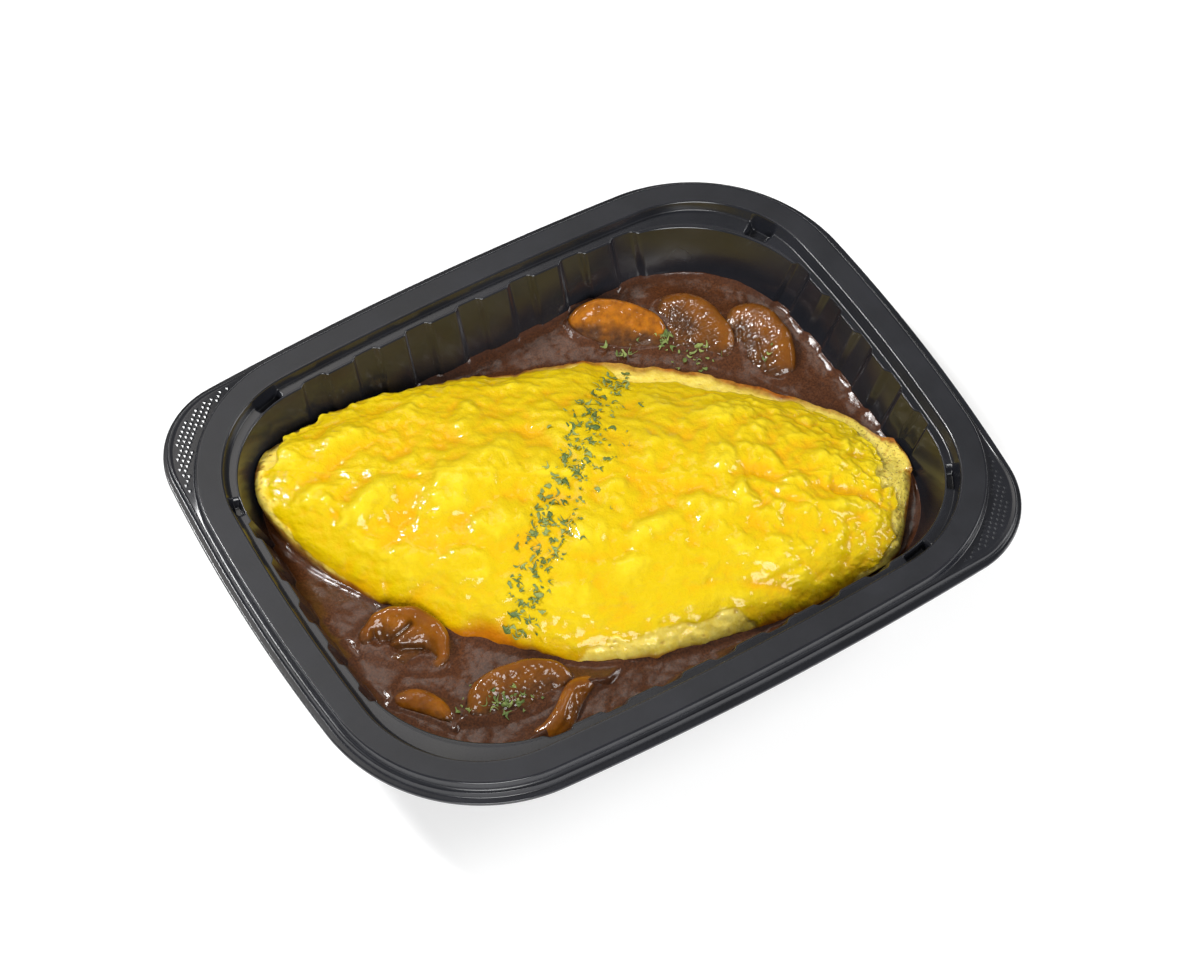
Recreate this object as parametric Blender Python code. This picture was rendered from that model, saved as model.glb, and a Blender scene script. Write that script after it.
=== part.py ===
# Omurice in a lidded-meal tray: a rice-filled egg omelette lying corner to corner in a black
# thermoformed tray, with brown sauce at both long sides and seven slices of mushroom in it.
# Metres, +Z up. The origin is on the surface the tray stands on, under the middle of the tray.
# X runs along the tray's long sides and Y along its short sides.
import math

import bmesh
import bpy
from mathutils import Matrix, Vector

MM = 0.001
GAP = 0.35 * MM  # left between pieces that touch

# Tray opening, at the inner top edge of the rim: four gently bowed sides and round corners
TRAY_HEIGHT = 40.0 * MM
OPENING_HALF_LENGTH = 98.0 * MM
OPENING_HALF_WIDTH = 74.6 * MM
LONG_SIDE_BOW = 4.55 * MM
SHORT_SIDE_BOW = 5.27 * MM
CORNER_RADIUS = 38.1 * MM
TAB_CORNER_RADIUS = 16.5 * MM  # of the rim's outer edge at the two corners with a thumb tab
WIDE_CORNER_RADIUS = 48.8 * MM  # of the wall at the two corners without one
WIDE_CORNER_FROM = -2.0 * MM  # and of all that lies further in than this, so the ledge widens
RIM_CORNER_EASE = 0.15  # the rim narrows at those corners by this share of its width, as radius

# Tray section, as distances outwards from the opening and heights
SHELL = 0.9 * MM
RIM_WIDTH = 7.6 * MM
STEP_FOOT, STEP_EDGE, STEP_HEIGHT = 8.1 * MM, 9.1 * MM, 37.3 * MM
STEP_FOOT_RISE = 0.5 * MM
SKIRT_TOP, SKIRT_TOP_HEIGHT = 10.0 * MM, 35.8 * MM
SKIRT_EDGE, SKIRT_EDGE_HEIGHT = 11.65 * MM, 35.4 * MM
TAB_STEP_REACH, TAB_SKIRT_REACH = 1.15, 1.1  # at a tab these grow faster than the skirt's edge
LEDGE_HEIGHT = 37.1 * MM
LEDGE_FOOT, LEDGE_EDGE = -1.3 * MM, -4.3 * MM
WALL_FOOT, WALL_FOOT_HEIGHT = -17.0 * MM, 4.5 * MM
FLOOR_EDGE = -21.0 * MM
FOOT_ROUND = 0.4 * MM  # taken off the outside round the floor

# Recesses down the wall, which also scallop the ledge's inner edge
LONG_PITCH, LONG_RECESSES = 17.64 * MM, 4  # counted from the middle of a side outwards
SHORT_PITCH, SHORT_RECESSES = 16.3 * MM, 3
RECESS_HALF_FLAT, RECESS_HALF_WIDTH = 2.5 * MM, 5.3 * MM
RECESS_DEPTH_TOP, RECESS_DEPTH_FOOT = 1.25 * MM, 0.6 * MM
CORNER_START, CORNER_END, CORNER_STEPS = 5.5, 84.0, 9  # degrees

SAUCE_HEIGHT = 20.9 * MM
SAUCE_UNDER_OMELETTE = 1.9 * MM

# Omelette: a spindle on the diagonal between the tabs, s along it and n across it
OMELETTE_ANGLE = -26.3  # degrees from X
HALF_WIDTH = 53.0 * MM
LEFT_LENGTH, RIGHT_LENGTH = 98.0 * MM, 94.6 * MM
PLAN_POWER, LEFT_TAPER, RIGHT_TAPER = 1.5, 0.57, 0.49
MIDDLE = -1.8 * MM
LEFT_DRIFT, RIGHT_DRIFT, DRIFT_POWER = 12.9 * MM, -1.5 * MM, 1.3  # how far the tips swing over
EDGE_HEIGHT = 20.4 * MM
LEFT_EDGE_RISE, RIGHT_EDGE_RISE, RISE_POWER = 6.5 * MM, 4.5 * MM, 4.0
CREST = 18.2 * MM
CREST_POWER, CREST_TAPER = 2.6, 0.5
NEAR_DOME_POWER, FAR_DOME_POWER = 0.95, 1.7  # the near side is steeper than the far side
OMELETTE_STATIONS, OMELETTE_ACROSS = 34, 16
TIP_SHARE = 0.999  # the last sections stop this short of the tips
BOTTOM_SHARE = 0.86  # width of the underside against the widest place
BOTTOM_RISE_POWER = 5
WALL_CLEARANCE = 1.2 * MM

LUMP_FADE = 1.5  # lumps fade out below a dome share of 1 / 1.5

# Folds and lumps of the egg: s, n, radius along s, radius along n, turn in degrees, height
LUMPS = (
    (-78, 10, 17, 8, 35, 1.9),
    (-52, -14, 17, 9, 40, 1.8),
    (-55, 18, 15, 10, -20, 1.4),
    (-26, -30, 20, 8, 15, 1.3),
    (-22, 22, 22, 11, 25, 0.9),
    (3, 2, 16, 14, 0, 0.8),
    (24, 30, 18, 9, -25, 1.3),
    (30, -28, 20, 9, -10, 1.2),
    (50, 4, 16, 8, 20, 1.6),
    (66, -10, 15, 7, -15, 1.5),
    (74, 14, 10, 8, 30, 1.4),
    (-8, -10, 15, 9, -30, -0.8),
    (40, -12, 10, 6, 10, -1.0),
)

# Mushroom slices: centre of the cut face, heading of the slice's width, tilt of its cap edge
# upwards, width, depth, thickness, stem width (0 for none) and curl, in mm and degrees
MUSHROOMS = {
    "mushroom_far_1": ((39.6, 49.4, 22.9), -46, 28, 30.0, 14.0, 3.6, 0.0, 0.9),
    "mushroom_far_2": ((57.8, 38.4, 22.3), -78, 24, 29.0, 14.0, 3.4, 6.0, 1.2),
    "mushroom_far_3": ((71.3, 24.0, 22.4), -88, 26, 29.0, 17.0, 3.6, 0.0, 1.4),
    "mushroom_near_1": ((-72.8, -16.1, 23.3), -50, 27, 27.0, 20.0, 4.2, 8.0, 1.6),
    "mushroom_near_2": ((-77.0, -36.0, 20.9), -43, 40, 18.0, 10.0, 3.8, 0.0, 0.8),
    "mushroom_near_3": ((-51.0, -47.2, 23.1), -7, 30, 33.0, 15.5, 3.8, 0.0, 1.5),
    "mushroom_near_4": ((-41.4, -58.5, 21.2), 6, 56, 29.0, 12.0, 3.6, 0.0, 1.8),
}
SLICE_POINTS = 16
UPPER_DEPTH = 0.6  # of a slice's depth lies above its widest line
LOWER_DEPTH, STEM_DEPTH = 0.62, 0.32  # of that, below the line, and more at a stem
EDGE_SHARE, EDGE_ROUND = 0.93, 0.3  # the rounded edge, as shares of width and thickness
DISH_SHARE, DISH_DEPTH = 0.62, 0.7  # the hollow in a slice's upper face


def clear_scene():
    for item in list(bpy.data.objects):
        bpy.data.objects.remove(item, do_unlink=True)


def material(name, colour, roughness):
    made = bpy.data.materials.new(name)
    made.use_nodes = True
    shader = made.node_tree.nodes["Principled BSDF"]
    shader.inputs["Base Color"].default_value = (*colour, 1.0)
    shader.inputs["Roughness"].default_value = roughness
    shader.inputs["Metallic"].default_value = 0.0
    return made


def new_object(name, rings, surface):
    # A closed body through rings of equally many points, with a flat end on the first and last
    shape = bmesh.new()
    loops = [[shape.verts.new(point) for point in ring] for ring in rings]
    count = len(loops[0])
    for lower, upper in zip(loops, loops[1:]):
        for i in range(count):
            j = (i + 1) % count
            shape.faces.new((lower[i], lower[j], upper[j], upper[i]))
    shape.faces.new(list(reversed(loops[0])))
    shape.faces.new(loops[-1])
    bmesh.ops.recalc_face_normals(shape, faces=shape.faces)
    bmesh.ops.triangulate(shape, faces=shape.faces)
    mesh = bpy.data.meshes.new(name)
    shape.to_mesh(mesh)
    shape.free()
    mesh.shade_smooth()
    mesh.set_sharp_from_angle(angle=math.radians(30))
    mesh.materials.append(surface)
    made = bpy.data.objects.new(name, mesh)
    bpy.context.scene.collection.objects.link(made)
    return made


def cutter_of(piece):
    # The piece grown by the gap, to cut its bed out of the sauce
    made = piece.copy()
    made.data = piece.data.copy()
    made.name = piece.name + "_cutter"
    bpy.context.scene.collection.objects.link(made)
    grown = made.modifiers.new("grown", "DISPLACE")
    grown.strength = GAP
    grown.mid_level = 0.0
    made.hide_render = True
    made.display_type = "WIRE"
    return made


def side_circle(half_span, half_other, bow):
    # Centre distance below the side's middle, and radius, of the arc of a bowed side
    radius = (half_span**2 + bow**2) / (2 * bow)
    return half_other - radius, radius


def crossing(first, first_radius, second, second_radius):
    # The crossing, furthest from the tray's middle, of two circles
    apart = second - first
    distance = apart.length
    along = (distance**2 + first_radius**2 - second_radius**2) / (2 * distance)
    height = math.sqrt(first_radius**2 - along**2)
    unit = apart / distance
    return first + unit * along + Vector((unit.y, -unit.x)) * height


def outline(grow, corner):
    # The long side's, corner's and short side's arcs of the opening's outline, moved out by grow
    long_y, long_radius = side_circle(OPENING_HALF_LENGTH, OPENING_HALF_WIDTH, LONG_SIDE_BOW)
    short_x, short_radius = side_circle(OPENING_HALF_WIDTH, OPENING_HALF_LENGTH, SHORT_SIDE_BOW)
    long_centre = Vector((0.0, long_y))
    short_centre = Vector((short_x, 0.0))
    centre = crossing(long_centre, long_radius - corner, short_centre, short_radius - corner)
    return (
        (long_centre, long_radius + grow),
        (centre, corner + grow),
        (short_centre, short_radius + grow),
    )


def to_circle(start, direction, circle):
    # Distance from start along direction to the far side of a circle, or none if it misses
    centre, radius = circle
    offset = start - centre
    along = direction.dot(offset)
    inside = along**2 - offset.length_squared + radius**2
    return math.sqrt(inside) - along if inside >= 0 else None


def reach(start, direction, arcs):
    # Distance from start along direction to the outline in the first quadrant
    long_side, corner, short_side = arcs
    distance = to_circle(start, direction, corner)
    if distance is None:
        return to_circle(start, direction, long_side if direction.y > direction.x else short_side)
    out = start + direction * distance - corner[0]
    angle = math.atan2(out.y, out.x)
    to_long = corner[0] - long_side[0]
    to_short = corner[0] - short_side[0]
    if angle > math.atan2(to_long.y, to_long.x):
        return to_circle(start, direction, long_side)
    if angle < math.atan2(to_short.y, to_short.x):
        return to_circle(start, direction, short_side)
    return distance


def recess_places(pitch, recesses, limit):
    # Places along a half side where a recess starts, is full, and ends again, with its depth
    places = []
    for number in range(recesses):
        for step, depth in ((-RECESS_HALF_WIDTH, 0), (-RECESS_HALF_FLAT, 1), (RECESS_HALF_FLAT, 1),
                            (RECESS_HALF_WIDTH, 0)):
            place = number * pitch + step
            if 0 < place < limit:
                places.append((place, depth))
    return places


def quadrant_stations():
    # Start, direction and recess depth of each point from the short side to the long side
    corner = outline(0, CORNER_RADIUS)[1][0]
    stations = []
    for place, depth in recess_places(SHORT_PITCH, SHORT_RECESSES, corner.y + 1 * MM):
        stations.append((Vector((0, place)), Vector((1, 0)), depth))
    for step in range(CORNER_STEPS):
        share = step / (CORNER_STEPS - 1)
        angle = math.radians(CORNER_START + (CORNER_END - CORNER_START) * share)
        stations.append((corner, Vector((math.cos(angle), math.sin(angle))), 0))
    for place, depth in reversed(recess_places(LONG_PITCH, LONG_RECESSES, corner.x)):
        stations.append((Vector((place, 0)), Vector((0, 1)), depth))
    return stations


def corner_radius(grow, tabbed):
    if tabbed:
        return CORNER_RADIUS
    if grow < WIDE_CORNER_FROM:
        return WIDE_CORNER_RADIUS
    return CORNER_RADIUS + RIM_CORNER_EASE * max(grow, 0.0)


def tray_ring(grow, height, recess=0.0, tab=0.0):
    # One ring of the tray: tab is how much of the thumb tab's shape it takes
    stations = quadrant_stations()
    ring = []
    for sign_x, sign_y in ((1, 1), (-1, 1), (-1, -1), (1, -1)):
        tabbed = sign_x * sign_y < 0
        plain = outline(grow, corner_radius(grow, tabbed))
        tight = outline(grow, TAB_CORNER_RADIUS)
        order = reversed(stations) if tabbed else stations
        for start, direction, depth in order:
            distance = reach(start, direction, plain) + recess * depth
            if tabbed and tab:
                distance += tab * (reach(start, direction, tight) - distance)
            point = start + direction * distance
            ring.append(Vector((point.x * sign_x, point.y * sign_y, height)))
    return ring


def wall_at(height):
    # How far in from the opening the wall's inner face is at a height, and its recess depth
    share = (height - WALL_FOOT_HEIGHT) / (LEDGE_HEIGHT - WALL_FOOT_HEIGHT)
    grow = WALL_FOOT + (LEDGE_EDGE - WALL_FOOT) * share
    recess = RECESS_DEPTH_FOOT + (RECESS_DEPTH_TOP - RECESS_DEPTH_FOOT) * share
    return grow, recess


def build_tray():
    under_ledge = LEDGE_HEIGHT - SHELL
    under_rim = TRAY_HEIGHT - SHELL
    under_step = STEP_HEIGHT - SHELL
    under_skirt = SKIRT_TOP_HEIGHT - SHELL
    section = (
        (FLOOR_EDGE, SHELL, 0, 0),
        (WALL_FOOT, WALL_FOOT_HEIGHT, RECESS_DEPTH_FOOT, 0),
        (LEDGE_EDGE, LEDGE_HEIGHT, RECESS_DEPTH_TOP, 0),
        (LEDGE_FOOT, LEDGE_HEIGHT, 0, 0),
        (0, TRAY_HEIGHT, 0, 0),
        (RIM_WIDTH, TRAY_HEIGHT, 0, 0),
        (STEP_FOOT, STEP_HEIGHT + STEP_FOOT_RISE, 0, 0),
        (STEP_EDGE, STEP_HEIGHT, 0, TAB_STEP_REACH),
        (SKIRT_TOP, SKIRT_TOP_HEIGHT, 0, TAB_SKIRT_REACH),
        (SKIRT_EDGE, SKIRT_EDGE_HEIGHT, 0, 1),
        (SKIRT_EDGE, SKIRT_EDGE_HEIGHT - SHELL, 0, 1),
        (SKIRT_TOP - SHELL, under_skirt, 0, TAB_SKIRT_REACH),
        (STEP_FOOT - SHELL, under_step, 0, 0),
        (RIM_WIDTH - SHELL, under_rim, 0, 0),
        (SHELL, under_rim, 0, 0),
        (LEDGE_FOOT + SHELL, under_ledge, 0, 0),
        (LEDGE_EDGE + SHELL, under_ledge, RECESS_DEPTH_TOP, 0),
        (WALL_FOOT + SHELL, WALL_FOOT_HEIGHT - FOOT_ROUND, RECESS_DEPTH_FOOT, 0),
        (FLOOR_EDGE + FOOT_ROUND, 0, 0, 0),
    )
    rings = [tray_ring(*step) for step in section]
    return new_object("tray", rings, material("black_plastic", (0.02, 0.02, 0.022), 0.4))


def inside_wall(point):
    # The point, drawn in towards the tray's middle where it would come too near the wall
    tabbed = point.x * point.y < 0
    grow, _ = wall_at(point.z)
    if point.z < WALL_FOOT_HEIGHT:
        share = (WALL_FOOT_HEIGHT - point.z) / (WALL_FOOT_HEIGHT - SHELL)
        grow = WALL_FOOT + (FLOOR_EDGE - WALL_FOOT) * share
    arcs = outline(grow - WALL_CLEARANCE, corner_radius(grow, tabbed))
    flat = Vector((abs(point.x), abs(point.y)))
    if flat.length < OPENING_HALF_WIDTH / 2:
        return point
    limit = reach(Vector((0, 0)), flat.normalized(), arcs)
    share = min(1.0, limit / flat.length)
    return Vector((point.x * share, point.y * share, point.z))


def lump_height(along, across):
    # Sum of smooth mounds, each turned in plan
    total = 0.0
    for s, n, long_radius, short_radius, turn, height in LUMPS:
        angle = math.radians(turn)
        ds, dn = along / MM - s, across / MM - n
        u = (ds * math.cos(angle) + dn * math.sin(angle)) / long_radius
        v = (dn * math.cos(angle) - ds * math.sin(angle)) / short_radius
        total += height * math.exp(-u * u - v * v)
    return total * MM


def omelette_section(s):
    # One closed section across the spindle at s: over the top from the near edge, then below
    left = s < 0
    share = abs(s) / (LEFT_LENGTH if left else RIGHT_LENGTH)
    width = HALF_WIDTH * (1 - share**PLAN_POWER) ** (LEFT_TAPER if left else RIGHT_TAPER)
    middle = MIDDLE + (LEFT_DRIFT if left else RIGHT_DRIFT) * share**DRIFT_POWER
    rise = (LEFT_EDGE_RISE if left else RIGHT_EDGE_RISE) * share**RISE_POWER
    edge = EDGE_HEIGHT + rise
    crest = CREST * (1 - share**CREST_POWER) ** CREST_TAPER
    floor = SHELL + GAP + SAUCE_UNDER_OMELETTE
    bottom = floor + (edge - floor) * share**BOTTOM_RISE_POWER
    turn = Matrix.Rotation(math.radians(OMELETTE_ANGLE), 3, "Z")
    section = []
    for step in range(OMELETTE_ACROSS + 1):
        angle = math.pi * (step / OMELETTE_ACROSS - 0.5)
        n = middle + width * math.sin(angle)
        dome = max(math.cos(angle), 0.0) ** (NEAR_DOME_POWER if angle < 0 else FAR_DOME_POWER)
        height = edge + crest * dome + lump_height(s, n) * min(1.0, dome * LUMP_FADE)
        section.append(inside_wall(turn @ Vector((s, n, height))))
    for side in (1, -1):
        n = middle + side * width * BOTTOM_SHARE
        section.append(inside_wall(turn @ Vector((s, n, bottom))))
    return section


def build_omelette():
    rings = []
    for step in range(OMELETTE_STATIONS + 1):
        share = math.sin(math.pi * (step / OMELETTE_STATIONS - 0.5)) * TIP_SHARE
        s = share * (LEFT_LENGTH if share < 0 else RIGHT_LENGTH)
        rings.append(omelette_section(s))
    return new_object("omelette", rings, material("egg", (0.90, 0.58, 0.01), 0.35))


def slice_outline(width, depth, stem):
    # A sliced cap: a round upper edge, a flatter lower edge and, with a stem, a lobe below it
    points = []
    for step in range(SLICE_POINTS):
        angle = 2 * math.pi * step / SLICE_POINTS
        x, y = math.cos(angle), math.sin(angle)
        if y < 0:
            lobe = math.exp(-2 * (x * width / stem) ** 2) if stem else 0.0
            y *= LOWER_DEPTH + STEM_DEPTH * lobe
        points.append(Vector((x * width / 2, y * depth * UPPER_DEPTH, 0)))
    return points


def build_mushroom(name, centre, heading, tilt, width, depth, thickness, stem, curl):
    # Rings of the slice's outline: a rounded edge, and a shallow dish in the upper face
    outline_points = slice_outline(width, depth, stem)
    place = (
        Matrix.Translation(Vector(centre) * MM)
        @ Matrix.Rotation(math.radians(heading), 4, "Z")
        @ Matrix.Rotation(math.radians(tilt), 4, "X")
    )
    rings = []
    section = (
        (-thickness, EDGE_SHARE),
        (-(1 - EDGE_ROUND) * thickness, 1.0),
        (-EDGE_ROUND * thickness, 1.0),
        (0.0, EDGE_SHARE),
        (-DISH_DEPTH, DISH_SHARE),
    )
    for height, share in section:
        ring = []
        for point in outline_points:
            bend = curl * (point.x * share / (width / 2)) ** 2
            ring.append(place @ (Vector((point.x * share, point.y * share, height - bend)) * MM))
        rings.append(ring)
    return new_object(name, rings, material("mushroom_" + name, (0.30, 0.12, 0.02), 0.3))


def build_sauce(pieces):
    # The pool up to its level, with a bed cut out for everything that stands in it
    grow, recess = wall_at(SAUCE_HEIGHT)
    rings = [
        tray_ring(FLOOR_EDGE - GAP, SHELL + GAP),
        tray_ring(WALL_FOOT - GAP, WALL_FOOT_HEIGHT + GAP, RECESS_DEPTH_FOOT),
        tray_ring(grow - GAP, SAUCE_HEIGHT, recess),
    ]
    sauce = new_object("sauce", rings, material("brown_sauce", (0.10, 0.045, 0.025), 0.25))
    for piece in pieces:
        bed = sauce.modifiers.new("bed_" + piece.name, "BOOLEAN")
        bed.operation = "DIFFERENCE"
        bed.solver = "EXACT"
        bed.object = cutter_of(piece)
    return sauce


def main():
    clear_scene()
    build_tray()
    standing = [build_omelette()]
    for name, values in MUSHROOMS.items():
        standing.append(build_mushroom(name, *values))
    build_sauce(standing)


main()
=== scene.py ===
import math
from types import SimpleNamespace

import bpy
import numpy as np
from mathutils import Matrix, Vector


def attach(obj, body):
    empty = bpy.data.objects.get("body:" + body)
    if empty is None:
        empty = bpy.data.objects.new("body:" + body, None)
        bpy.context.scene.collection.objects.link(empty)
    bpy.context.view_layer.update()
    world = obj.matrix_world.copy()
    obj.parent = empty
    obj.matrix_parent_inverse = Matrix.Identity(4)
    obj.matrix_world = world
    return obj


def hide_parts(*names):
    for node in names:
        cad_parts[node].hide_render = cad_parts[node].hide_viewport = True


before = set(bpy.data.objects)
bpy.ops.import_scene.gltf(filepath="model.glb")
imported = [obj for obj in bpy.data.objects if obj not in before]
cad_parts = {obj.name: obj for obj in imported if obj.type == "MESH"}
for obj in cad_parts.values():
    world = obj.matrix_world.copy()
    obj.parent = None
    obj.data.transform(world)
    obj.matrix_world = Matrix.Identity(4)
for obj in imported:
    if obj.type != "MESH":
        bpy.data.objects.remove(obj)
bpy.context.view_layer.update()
mm = 0.001
print("frame loaded:", ", ".join(sorted(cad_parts)))


def ramp(low, high, value):
    # smooth step: 0 at low, 1 at high, flat at both ends
    share = np.clip((value - low) / (high - low), 0.0, 1.0)
    return share * share * (3.0 - 2.0 * share)


def scramble(column, row, seed):
    # a fixed number from 0 to 1 for every whole-number place
    mixed = (column * 374761393 + row * 668265263 + seed * 1274126177) & 0xFFFFFFFF
    mixed = ((mixed ^ (mixed >> 13)) * 1103515245) & 0xFFFFFFFF
    return ((mixed ^ (mixed >> 16)) & 0xFFFF) / 65535.0


def softNoise(x, y, size, seed):
    # heights from -1 to 1 at the corners of a square grid, blended between them by a quintic
    u, v = x / size, y / size
    column, row = np.floor(u).astype(np.int64), np.floor(v).astype(np.int64)
    fu, fv = u - column, v - row
    fu, fv = (f**3 * (f * (f * 6 - 15) + 10) for f in (fu, fv))
    near = scramble(column, row, seed) * (1 - fu) + scramble(column + 1, row, seed) * fu
    far = scramble(column, row + 1, seed) * (1 - fu) + scramble(column + 1, row + 1, seed) * fu
    return 2 * (near * (1 - fv) + far * fv) - 1


def layeredNoise(x, y, size, layers, seed):
    # soft noise summed, each layer half the size and half the strength, on turned axes
    total, strength = 0.0, 1.0
    for layer in range(layers):
        total = total + strength * softNoise(x, y, size, seed + layer)
        x, y = 0.8 * x - 0.6 * y, 0.6 * x + 0.8 * y
        size, strength = size / 2, strength / 2
    return total


def cellNoise(x, y, size, seed):
    # one random point in each grid square: distances, in squares, to the nearest and the
    # second nearest, and a number from 0 to 1 that belongs to the nearest
    u, v = x / size, y / size
    column, row = np.floor(u).astype(np.int64), np.floor(v).astype(np.int64)
    nearest = np.full(np.shape(u), 9.0)
    second, mark = nearest.copy(), np.zeros(np.shape(u))
    for over in (-1, 0, 1):
        for up in (-1, 0, 1):
            c, r = column + over, row + up
            away = np.hypot(u - c - scramble(c, r, seed), v - r - scramble(c, r, seed + 31))
            closer = away < nearest
            second = np.where(closer, nearest, np.minimum(second, away))
            mark = np.where(closer, scramble(c, r, seed + 57), mark)
            nearest = np.where(closer, away, nearest)
    return nearest, second, mark


def blurred(field, radius):
    # gaussian blur in grid steps, through the Fourier transform of the field with edges held
    pad = int(3 * radius) + 1
    wide = np.pad(field, pad, mode="edge")
    fv, fu = np.fft.fftfreq(wide.shape[0])[:, None], np.fft.rfftfreq(wide.shape[1])
    kernel = np.exp(-2 * (np.pi * radius) ** 2 * (fv**2 + fu**2))
    return np.fft.irfft2(np.fft.rfft2(wide) * kernel, s=wide.shape)[pad:-pad, pad:-pad]


def pieceFromFaces(name, points, faces, surface, marks=None):
    # a mesh from points in mm and faces of three or four corners (-1 fills a triangle), with
    # its marks as attributes
    mesh = bpy.data.meshes.new(name)
    sides = (faces >= 0).sum(axis=1)
    corners = faces[faces >= 0]
    mesh.vertices.add(len(points))
    mesh.vertices.foreach_set("co", (points * mm).astype(np.float32).ravel())
    mesh.loops.add(len(corners))
    mesh.loops.foreach_set("vertex_index", corners.astype(np.int32))
    mesh.polygons.add(len(faces))
    mesh.polygons.foreach_set("loop_start", (np.cumsum(sides) - sides).astype(np.int32))
    for key, values in (marks or {}).items():
        attribute = mesh.attributes.new(key, "FLOAT", "POINT")
        attribute.data.foreach_set("value", np.asarray(values, np.float32).ravel())
    mesh.update(calc_edges=True)
    mesh.validate()
    mesh.shade_smooth()
    mesh.materials.append(surface)
    piece = bpy.data.objects.new(name, mesh)
    bpy.context.scene.collection.objects.link(piece)
    return piece


def closedSurface(name, rings, surface, marks=None):
    # quads between neighbouring rings of equally many points and a fan over each end ring, all
    # turned round if their signed volume is negative
    rows, columns = rings.shape[:2]
    index = np.arange(rows * columns).reshape(rows, columns)
    following = np.roll(index, -1, axis=1)
    quads = np.stack([index[:-1], following[:-1], following[1:], index[1:]], -1).reshape(-1, 4)
    none, first = np.full(columns, -1), rows * columns
    start = np.stack([following[0], index[0], np.full(columns, first), none], -1)
    end = np.stack([index[-1], following[-1], np.full(columns, first + 1), none], -1)
    points = np.concatenate([rings.reshape(-1, 3), [rings[0].mean(0), rings[-1].mean(0)]])
    a, b, c, d = (points[quads[:, k]] for k in range(4))
    volume = np.einsum("ij,ij->", np.cross(a, b), c) + np.einsum("ij,ij->", np.cross(a, c), d)
    faces = np.concatenate([quads, start, end])
    if volume < 0:
        turned = faces[:, ::-1]
        faces = np.where(turned[:, :1] < 0, np.roll(turned, -1, axis=1), turned)
    grown = {}
    for key, values in (marks or {}).items():
        grown[key] = np.concatenate([values.ravel(), [values[0].mean(), values[-1].mean()]])
    return pieceFromFaces(name, points, faces, surface, grown)


def standFor(piece, slotName, *nodes):
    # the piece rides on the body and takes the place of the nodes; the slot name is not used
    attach(piece, "root")
    if nodes:
        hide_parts(*nodes)
    return piece


def linear(red, green, blue):
    # screen values from 0 to 255 as linear light
    share = np.array([red, green, blue]) / 255.0
    return (*np.where(share <= 0.04045, share / 12.92, ((share + 0.055) / 1.055) ** 2.4), 1.0)


class Surface:
    # a Principled material being put together: each call adds a node and returns its output

    def __init__(self, name, **values):
        self.material = bpy.data.materials.new(name)
        self.material.use_nodes = True
        self.tree = self.material.node_tree
        self.shader = self.tree.nodes["Principled BSDF"]
        self.place = self.add("TexCoord", {}).node.outputs["Object"]
        for key, value in values.items():
            self.shader.inputs[key.replace("_", " ")].default_value = value

    def add(self, kind, inputs, output=0, **settings):
        node = self.tree.nodes.new("ShaderNode" + kind)
        for key, value in settings.items():
            setattr(node, key, value)
        for key, value in inputs.items():
            if isinstance(value, bpy.types.NodeSocket):
                self.tree.links.new(value, node.inputs[key])
            else:
                node.inputs[key].default_value = value
        return node.outputs[output]

    def noise(self, scale, detail=3.0, roughness=0.55):
        # scale is in waves per metre
        return self.add("TexNoise", {"Vector": self.place, "Scale": scale, "Detail": detail,
                                     "Roughness": roughness})

    def mark(self, key):
        return self.add("Attribute", {}, 2, attribute_name=key)

    def remap(self, value, low, high, toLow=0.0, toHigh=1.0):
        return self.add("MapRange", {"Value": value, "From Min": low, "From Max": high,
                                     "To Min": toLow, "To Max": toHigh})

    def sum(self, first, second, operation="ADD"):
        return self.add("Math", {0: first, 1: second}, operation=operation)

    def mix(self, factor, first, second):
        # of the Mix node's sockets, 6 and 7 are its two colours and 2 is the colour it returns
        return self.add("Mix", {0: factor, 6: first, 7: second}, 2, data_type="RGBA")

    def over(self, under, screen, value, low, high, most=1.0):
        # a screen colour laid over another, up to most as the value goes from low to high
        return self.mix(self.remap(value, low, high, 0.0, most), under, linear(*screen))

    def bump(self, height, distance, strength=1.0, under=None):
        inputs = {"Height": height, "Distance": distance, "Strength": strength}
        if under is not None:
            inputs["Normal"] = under
        return self.add("Bump", inputs)

    def set(self, key, socket):
        self.tree.links.new(socket, self.shader.inputs[key])


# tray: one shell carried round the opening's outline
tray = {
    "height": 40.0, "halfLength": 98.0, "halfWidth": 74.6, "longBow": 4.55, "shortBow": 5.27,
    "corner": 38.1, "tabCorner": 16.5, "wallCorner": 48.8, "cornerEase": 0.15,
    "shell": 0.9, "rimWidth": 7.6, "ledgeHeight": 37.1, "ledgeEdge": -4.3,
    "wallFoot": -17.0, "wallFootHeight": 4.5, "floorEdge": -21.0,
    "longPitch": 17.64, "longRecesses": 4, "shortPitch": 16.3, "shortRecesses": 3,
    "recessHalfFlat": 3.1, "recessHalfWidth": 4.6, "recessTop": 1.25, "recessFoot": 0.6,
    "columnStep": 0.66, "notchDepth": 3.0, "stepOut": 8.1,
}
# snap pockets in the ledge: place in plan and half length
notches = ((87.2, 49.2, 3.6), (-81.0, -55.3, 2.2), (-67.9, 68.4, 3.9), (-93.2, 41.0, 2.4),
           (88.2, -52.6, 3.6), (66.2, -70.4, 4.0))
# grip studs, low pyramids: the profile is the radius and the height above the tab of each ring,
# from the foot up, and the grid is wide enough to cover a tab from its centre
grip = {
    "pitch": 1.63, "foot": 37.55, "edge": 37.4, "margin": 1.0, "to": 7.6,
    "profile": ((0.84, -0.3), (0.80, 0.0), (0.14, 0.17)), "matt": 0.55,
    "gridCentre": (75, 55), "gridHalf": 80,
}


def arcOf(halfSpan, halfOther, bow):
    # radius of the circle through a side's middle and ends, and its centre's place inwards
    radius = (halfSpan**2 + bow**2) / (2 * bow)
    return halfOther - radius, radius


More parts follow.
